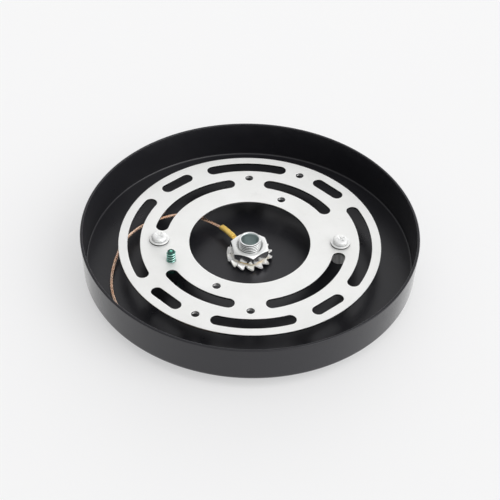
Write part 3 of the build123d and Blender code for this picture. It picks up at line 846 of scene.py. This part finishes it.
def star_washer():
    z = STAR_Z + STAR_T / 2
    body = lathe("star_body", [(5.15, STAR_Z + 0.12), (5.15, STAR_Z + STAR_T - 0.12), (5.27, STAR_Z + STAR_T), (7.0, STAR_Z + STAR_T),
                               (STAR_BODY_R - 0.12, STAR_Z + STAR_T), (STAR_BODY_R, STAR_Z + STAR_T - 0.12),
                               (STAR_BODY_R, STAR_Z + 0.12), (STAR_BODY_R - 0.12, STAR_Z), (7.0, STAR_Z), (5.27, STAR_Z)], 112)
    verts, faces = [], []
    for i in range(14):
        a = math.radians(273.5 + i * 360 / 14 + 1.1 * math.sin(i * 2.3))
        out = np.array([math.cos(a), math.sin(a), 0.0])
        side = np.array([-math.sin(a), math.cos(a), 0.0])
        up = np.array([0.0, 0.0, 1.0])
        base = len(verts)
        stops = [(7.9, 0.0, 2.4, 0.9)] + [
            (8.3 + (STAR_TIP_R - 8.3) * t, t, 2.9 + 1.25 * t, 0.98 - 0.1 * t) for t in np.linspace(0, 0.72, 7)
        ] + [
            (8.3 + (STAR_TIP_R - 8.3) * t, t, 2.0 + 1.8 * math.sqrt(max(0.0, 1 - ((t - 0.72) / 0.30) ** 2)), 0.90 - 0.1 * t)
            for t in (0.80, 0.87, 0.92, 0.96, 0.985)
        ] + [(STAR_TIP_R, 1.0, 1.9, 0.62)]
        for r, t, width, thick in stops:
            twist = math.radians(TOOTH_TWIST + 2.5 * math.sin(i * 1.7)) * min(1.0, 1.4 * t)
            for across, height in rounded_bar(width, thick, 0.16 if thick > 0.7 else 0.12):
                x = across * math.cos(twist) + height * math.sin(twist)
                y = -across * math.sin(twist) + height * math.cos(twist)
                verts.append((out * r + side * x + up * (y + z)).tolist())
        k = 12
        n = len(stops)
        faces += grid_faces(n, k, wrap_u=False, base=base)
        faces += [tuple(range(base, base + k))[::-1], tuple(range(base + (n - 1) * k, base + n * k))]
    teeth = raw_object("star_teeth", verts, faces)
    whole = combine(body, [teeth], "UNION")
    whole.name = "lock_washer_toothed"
    return whole


piece(star_washer(), "canopy", "star_washer", ZINC_STAR, sharp=38)


def ring_terminal():
    z0, t = TERMINAL_Z, TERMINAL_T
    ring = lathe("terminal_ring", [(5.15, z0 + 0.06), (5.15, z0 + t - 0.06), (5.25, z0 + t - 0.005), (TERMINAL_RING_R - 0.12, z0 + t - 0.005),
                                   (TERMINAL_RING_R, z0 + t - 0.12), (TERMINAL_RING_R, z0 + 0.12), (TERMINAL_RING_R - 0.12, z0 + 0.005), (5.25, z0 + 0.005)], 112)
    out = np.array([math.cos(TERMINAL_ANGLE), math.sin(TERMINAL_ANGLE), 0.0])
    side = np.array([-math.sin(TERMINAL_ANGLE), math.cos(TERMINAL_ANGLE), 0.0])
    up = np.array([0.0, 0.0, 1.0])
    # strap: the flat tongue rises over the toothed washer and curls up at its sides into the barrel
    stops = [  # distance out, height of the middle, half width, half thickness, how far the sides curl up
        (6.6, 8.75, 1.3, 0.47, 0.0), (8.0, 8.76, 1.3, 0.46, 0.0), (8.7, 8.98, 1.28, 0.40, 0.0), (9.4, 9.55, 1.25, 0.33, 0.02),
        (10.1, 9.93, 1.22, 0.30, 0.10), (10.8, 9.93, 1.2, 0.32, 0.30), (11.5, 9.85, 1.2, 0.36, 0.55), (12.2, 9.85, 1.18, 0.42, 0.7),
    ]
    verts, faces = [], []
    section = rounded_bar(2.0, 2.0, 0.55, 4)
    for r, z, half, thick, curl in stops:
        for s, h in section:
            lift = curl * (abs(s) ** 2) * 1.1
            verts.append((out * r + side * (s * half) + up * (z + h * thick + lift * 0.8)).tolist())
    k, n = len(section), len(stops)
    faces += grid_faces(n, k, wrap_u=False)
    faces += [tuple(range(k))[::-1], tuple(range((n - 1) * k, n * k))]
    tongue = raw_object("terminal_tongue", verts, faces)
    # barrel: rolled from sheet, so a seam runs along its top, pressed in at the crimp, flared at its mouth
    verts, faces = [], []
    m = 56
    length = BARREL_END - BARREL_START
    outer_s = np.concatenate([[0.0, 0.05], np.linspace(0.12, 0.9, 26), [0.95, 0.985, 1.0]])
    rows = []
    for s in outer_s:
        end = min(s * length / 0.28, (1 - s) * length / 0.22, 1.0)
        ease = math.sqrt(max(0.0, 1 - (1 - end) ** 2))
        pinch = math.exp(-((s - 0.34) / 0.10) ** 2) + 0.8 * math.exp(-((s - 0.66) / 0.09) ** 2)
        row = []
        for j in range(m):
            a = j * TAU / m
            rx, rz = 1.45 * (1 + 0.012 * math.sin(9 * s)), 1.15
            groove = math.exp(-((a - math.pi / 2) / 0.13) ** 2) * 0.20
            shoulder = math.exp(-((abs(a - math.pi / 2) - 0.42) / 0.22) ** 2) * 0.04
            dent = pinch * 0.10 * max(0.0, math.sin(a)) ** 2
            r = 1 - groove * (1 - 0.3 * pinch) + shoulder - dent
            r *= 0.86 + 0.14 * ease
            r = min(r, 1.0)
            row.append((rx * r * math.cos(a), rz * r * math.sin(a)))
        rows.append((BARREL_START + s * length, row))
    for d in (0.0, -0.6, -3.0, -7.6):
        rows.append((BARREL_END + d - (0.0 if d else 0.02), [((0.80 if d else 0.90) * math.cos(j * TAU / m), (0.80 if d else 0.90) * math.sin(j * TAU / m)) for j in range(m)]))
    for r, row in rows:
        bow = 0.30 * (1 - ((r - BARREL_START - length / 2) / (length / 2)) ** 2)
        for s, h in row:
            verts.append((out * r + side * s + up * (BARREL_Z + bow + h)).tolist())
    n = len(rows)
    faces += grid_faces(n, m, wrap_u=False)
    faces += [tuple(range(m))[::-1], tuple(range((n - 1) * m, n * m))]
    barrel = raw_object("terminal_barrel", verts, faces)
    whole = combine(ring, [tongue, barrel], "UNION")
    whole.name = "terminal_ring_crimped"
    return whole


piece(ring_terminal(), "canopy", "ring_terminal", BRASS, sharp=38)

collar = lathe("stem_collar_turned", [
    (5.55, 0.0), (5.7, 0.0), (8.9, 0.0), *bend(8.95, 0.35, 0.35, -90, -60, 3), (9.6, 0.4), (10.85, 2.3), *bend(10.6, 2.6, 0.4, -20, 0, 4),
    (11.0, 2.75), (10.82, 2.85), (10.82, 3.1), (11.0, 3.2), (11.0, 3.9), *bend(10.7, 3.9, 0.3, 0, 90, 5), (9.0, 4.2), (5.4, 4.2), (5.05, 3.9), (5.05, 0.5),
], 128)
piece(collar, "canopy", "stem_collar", COAT_SMALL, sharp=30)
piece(lathe("collar_washer_punched", [(5.2, 4.28), (5.28, 4.2), (9.92, 4.2), (10.0, 4.28), (10.0, 4.72), (9.92, 4.8), (5.28, 4.8), (5.2, 4.72)], 112),
      "canopy", "collar_washer", FIBRE)


# ------------------------------------------------------------------ standoffs, screws, washers and cap nuts
def standoff(x, y, name):
    pitch = 0.7
    stud = thread_rows(1.48, 5.6, pitch, 12)

    def outline(a):
        points = [(0.0, 1.4), (1.35, 1.4), (1.55, 1.43)]
        for z in stud:
            r = 1.62 + 0.38 * crest(z, a, pitch)
            points.append((min(r, 1.6 + (z - 1.4) * 1.1, 1.7 + max(0.0, 6.0 - z) * 0.9), z))
        points += [(1.68, 5.75), (1.68, 6.0), (3.5, 6.0), *bend(3.55, 6.25, 0.25, -90, 0, 5), *run((3.8, 6.4), (3.8, PLATE_BOTTOM - 0.45), 5),
                   *bend(3.55, PLATE_BOTTOM - 0.25, 0.25, 0, 90, 5), (3.2, PLATE_BOTTOM), (2.3, PLATE_BOTTOM), (2.05, PLATE_BOTTOM - 0.2)]
        for z in thread_rows(PLATE_BOTTOM - 0.35, 8.8, pitch, 6):
            points.append((2.05 + 0.10 * crest(z, a, pitch), z))
        points += [(2.05, 8.35), (0.0, 7.45)]
        return points

    verts, faces = polar(outline, 64, (x, y))
    return raw_object(name, verts, faces)


def cross_cutter(x, y, top, turn):
    """A cross-shaped punch with leaning sides."""
    verts, faces = [], []
    rows = [(top + 0.6, 2.15, 0.56), (top, 2.05, 0.48), (top - 0.35, 1.75, 0.40), (top - 0.72, 1.05, 0.30), (top - 0.85, 0.45, 0.24)]
    for z, arm, half in rows:
        inner = half + 0.14
        outline = []
        for q in range(4):
            c, s = math.cos(turn + q * math.pi / 2), math.sin(turn + q * math.pi / 2)
            for u, v in ((inner, -half), (arm - 0.12, -half), (arm, -half + 0.14), (arm, half - 0.14), (arm - 0.12, half), (inner, half)):
                outline.append((x + u * c - v * s, y + u * s + v * c, z))
        verts += outline
    k, n = 24, len(rows)
    faces += grid_faces(n, k, wrap_u=False)
    faces += [tuple(range(k))[::-1], tuple(range((n - 1) * k, n * k))]
    return raw_object("cross_punch", verts, faces)


def mounting_screw(x, y, turn, name):
    pitch, base, r = 0.7, PLATE_TOP + WASHER_T, HEAD_R
    top, tip = base + HEAD_H, base - SCREW_LENGTH
    rows = thread_rows(base - 0.5, tip + 0.06, pitch, 12)

    def outline(a):
        points = [(0.0, top - 0.0), (0.9, top - 0.005), (1.7, top - 0.035), (2.1, top - 0.075)]
        points += [(2.3 + 1.2 * math.sin(t), top - 1.2 + 1.10 * math.cos(t)) for t in np.linspace(0.12, math.pi / 2, 10)]
        points += [(r, base + 0.42), (r - 0.10, base + 0.22), (r - 0.36, base), (2.4, base), (2.0, base), (1.72, base - 0.25)]
        for z in rows:
            h = 1.62 + 0.38 * crest(z, a, pitch)
            points.append((min(h, 1.5 + (z - tip) * 1.1, 1.7 + (base - 0.3 - z) * 0.9), z))
        points += [(1.45, tip), (0.0, tip)]
        return points

    verts, faces = polar(outline, 64, (x, y))
    screw = raw_object(name, verts, faces)
    return combine(screw, [cross_cutter(x, y, top, turn)], "DIFFERENCE")


def washer(x, y, name, inner, outer, low, high, round_off=0.12, crown=0.0, under=0.06):
    mid = (inner + outer) / 2
    return lathe(name, [
        (inner, low + round_off), (inner, high - round_off), (inner + round_off, high), (mid, high + crown),
        *bend(outer - round_off * 1.6, high - round_off * 1.6, round_off * 1.6, 90, 0, 5),
        *bend(outer - under, low + under * 1.3, under, 0, -60, 4), (outer - under, low + under * 0.12), (outer - under * 1.15, low), (mid, low), (inner + round_off, low),
    ], 80, (x, y))


def cap_nut(x, y, name):
    def outline(a):
        knurl = 0.09 * (0.5 + 0.5 * math.cos(48 * a))
        points = [(0.0, 0.0), (1.6, 0.0), (2.7, 0.0)]
        points += [(2.8 + 1.95 * math.sin(t), 1.75 - 1.75 * math.cos(t)) for t in np.linspace(0.12, math.pi / 2 - 0.12, 9)]
        points += [(4.88, 1.75), (5.0 - 0.03, 1.95)]
        points += [(5.0 - knurl, 2.1), (5.0 - knurl, 3.0), (5.0 - knurl, 3.75)]
        points += [(4.97, 3.9), *bend(4.7, 4.1, 0.3, 10, 90, 5), (3.4, 4.4), (2.3, 4.4), (2.05, 4.15)]
        for z in thread_rows(4.0, 1.4, 0.7, 6):
            points.append((2.05 + 0.08 * crest(z, a, 0.7), z))
        points += [(2.05, 1.15), (0.0, 1.15)]
        return points

    verts, faces = polar(outline, 192, (x, y))
    return raw_object(name, verts, faces)


for side, (sx, sy) in SCREW_XY.items():
    piece(standoff(sx, sy, f"standoff_turned_{side}"), "plate_assembly", f"standoff_{side}", ZINC_TURNED, sharp=40)
    turn = math.radians(30 if side == "right" else 62)
    piece(mounting_screw(sx, sy, turn, f"pan_head_screw_{side}"), f"mounting_screw_{side}", f"mounting_screw_{side}", ZINC_SCREW, sharp=40)
    piece(washer(sx, sy, f"flat_washer_{side}", 2.2, 4.5, PLATE_TOP, PLATE_TOP + WASHER_T, under=0.10), f"screw_washer_{side}", f"screw_washer_{side}", ZINC_WASHER)
    piece(cap_nut(sx, sy, f"cap_nut_knurled_{side}"), f"cap_nut_{side}", f"cap_nut_{side}", COAT_SMALL, sharp=40)
    piece(washer(sx, sy, f"nylon_washer_{side}", 2.2, 4.6, 4.4, 4.8, 0.06), "canopy", f"cap_nut_washer_{side}", NYLON)


# ------------------------------------------------------------------ ground screw and its clamp washer
def ground_screw():
    x, y = GROUND_XY
    pitch, tip = 1.4, GROUND_TIP_Z
    head_top = PLATE_BOTTOM - TAP_COLLAR_H - 0.9
    flange_low, head_low = head_top - 0.8, head_top - 3.1
    rows = thread_rows(head_top + 0.35, tip - 0.05, pitch, 20)

    def outline(a):
        h = hex_radius(a, 6.35, 0.0, 0.05)
        chamfer = max(0.0, (h - 3.2)) * 0.5
        points = [(0.0, head_low), (1.2, head_low), (2.6, head_low), (3.0, head_low + 0.04), (h - 0.05, head_low + 0.12 + chamfer), (h, head_low + 0.22 + chamfer),
                  (h, flange_low - 0.12), (h + 0.06, flange_low - 0.02), (3.78, flange_low + 0.04), (3.96, flange_low + 0.22),
                  (4.0, flange_low + 0.45), (3.94, head_top - 0.06), (3.85, head_top), (2.9, head_top), (2.06, head_top), (1.75, head_top + 0.22)]
        for z in rows:
            t = crest(z, a, pitch, 0.06, 0.52)
            r = 1.47 + 0.61 * t
            end = tip - z
            points.append((min(r, 1.42 + end * 0.95, 1.55 + max(0.0, z - head_top - 0.3) * 0.9), z))
        # cut end: a flat ring round a low nub
        points += [(1.40, tip - 0.03), (1.33, tip - 0.04), (0.76, tip - 0.08), (0.66, tip - 0.07), (0.52, tip - 0.035), (0.30, tip - 0.008), (0.0, tip)]
        return points

    verts, faces = polar(outline, 72, (x, y))
    screw = raw_object("ground_screw_green", verts, faces)
    low, high = head_low - 1.0, head_low + 1.2
    box = [(x + sx * 5, y + sy * 0.55, z) for z in (low, high) for sx, sy in ((-1, -1), (1, -1), (1, 1), (-1, 1))]
    slot = raw_object("slot_cutter", box, [(0, 3, 2, 1), (4, 5, 6, 7), (0, 1, 5, 4), (1, 2, 6, 5), (2, 3, 7, 6), (3, 0, 4, 7)])
    return combine(screw, [slot], "DIFFERENCE")


piece(ground_screw(), "ground_screw", "ground_screw", GREEN, sharp=42)
gx, gy = GROUND_XY
clamp_top = PLATE_BOTTOM - TAP_COLLAR_H
piece(washer(gx, gy, "ground_clamp_washer", 2.23, 4.2, clamp_top - 0.9, clamp_top, 0.14), "ground_screw_washer", "ground_screw_washer", GREEN_WASHER)


# ------------------------------------------------------------------ floor and light
def floor():
    mesh = bpy.data.meshes.new("floor")
    s = 6.0
    mesh.from_pydata([(-s, -s, -0.00005), (s, -s, -0.00005), (s, s, -0.00005), (-s, s, -0.00005)], [], [(0, 1, 2, 3)])
    obj = bpy.data.objects.new("floor", mesh)
    scene.collection.objects.link(obj)
    # a translucent table: part of its light comes through it from below
    p = Paint("floor_sheet", Roughness=0.7, Emission_Strength=0.484)
    p.shader.inputs["Emission Color"].default_value = (0.995, 0.995, 1.0, 1.0)
    p.colour(p.mix(p.noise(180, 2), (0.412, 0.412, 0.414), (0.420, 0.420, 0.420)))
    # seen from below it is clear, so that the underside of the canopy can be looked at
    clear = p.node("ShaderNodeBsdfTransparent")
    either = p.node("ShaderNodeMixShader")
    p.link(p.node("ShaderNodeNewGeometry").outputs["Backfacing"], either.inputs[0])
    p.link(p.shader.outputs["BSDF"], either.inputs[1])
    p.link(clear.outputs["BSDF"], either.inputs[2])
    p.link(either.outputs["Shader"], next(n for n in p.tree.nodes if n.type == "OUTPUT_MATERIAL").inputs["Surface"])
    mesh.materials.append(p.material)


floor()


# Soft boxes all round, as smooth lobes of the sky: elevation, azimuth from +X towards +Y, sharpness, power
LOBES = (
    (8, 0, 14, 0.627), (8, 36, 14, 0.594), (8, 72, 14, 2.484), (8, 108, 14, 1.616), (8, 288, 14, 0.037),
    (8, 324, 14, 0.594), (30, 270, 24, 0.309), (30, 292.5, 24, 0.154), (30, 315, 24, 1.004), (30, 337.5, 24, 1.918),
    (30, 0, 24, 0.724), (55, 315, 20, 0.827), (55, 345, 20, 1.898), (55, 144, 20, 0.082), (88, 270, 16, 0.990),
)
DOME = 0.397


def studio():
    world = bpy.data.worlds.new("studio")
    scene.world = world
    world.use_nodes = True
    tree = world.node_tree
    coords = tree.nodes.new("ShaderNodeTexCoord")

    def step(operation, a, b):
        n = tree.nodes.new("ShaderNodeMath")
        n.operation = operation
        for socket, v in zip(n.inputs, (a, b)):
            if isinstance(v, (int, float)):
                socket.default_value = v
            else:
                tree.links.new(v, socket)
        return n.outputs["Value"]

    total = DOME
    for elevation, azimuth, sharpness, power in LOBES:
        e, a = math.radians(elevation), math.radians(azimuth)
        dot = tree.nodes.new("ShaderNodeVectorMath")
        dot.operation = "DOT_PRODUCT"
        dot.inputs[1].default_value = (math.cos(e) * math.cos(a), math.cos(e) * math.sin(a), math.sin(e))
        tree.links.new(coords.outputs["Generated"], dot.inputs[0])
        lobe = step("MULTIPLY", step("POWER", step("MAXIMUM", dot.outputs["Value"], 0.0), float(sharpness)), power)
        total = step("ADD", lobe, total)
    background = tree.nodes["Background"]
    tree.links.new(total, background.inputs["Color"])
    background.inputs["Strength"].default_value = 1.0


studio()

scene.view_settings.view_transform = "Standard"
scene.view_settings.look = "None"
scene.view_settings.exposure = 0.0
scene.view_settings.gamma = 1.0
